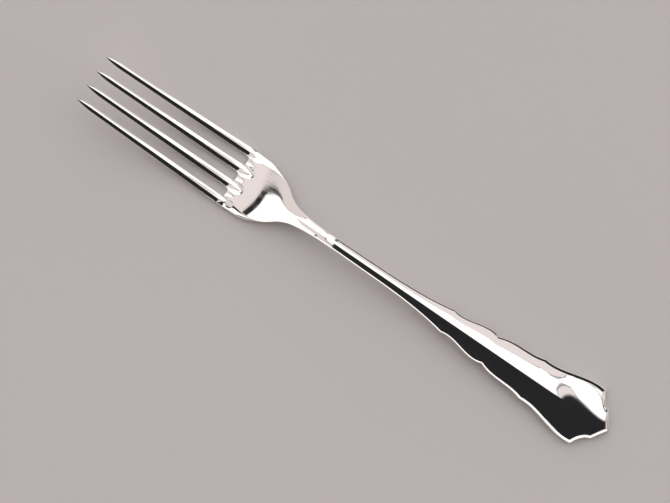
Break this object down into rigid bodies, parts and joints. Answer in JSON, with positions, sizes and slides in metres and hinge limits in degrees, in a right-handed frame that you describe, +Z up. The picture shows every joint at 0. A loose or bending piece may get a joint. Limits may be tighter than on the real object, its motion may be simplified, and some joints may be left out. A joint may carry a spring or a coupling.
{
  "type": "dinner fork",
  "caption": "Dinner fork with tapered tines, a dished bowl, a slim ridged stem and a flat handle with a raised lip, widening in scallops to a shaped end with a smooth drop.",
  "frame": {"origin": "on the table, under the middle of the fork's length and width", "axes": "+X from the tine points towards the handle's end, +Y across the fork, +Z up out of the hollow side; the fork lies on the back of its bowl and of its handle's end"},
  "size_m": [0.205, 0.0218, 0.0176],
  "materials": {
    "silver": "mirror polish with fine wear"
  },
  "bodies": {
    "root": {"fork": "silver"}
  },
  "joints": []
}
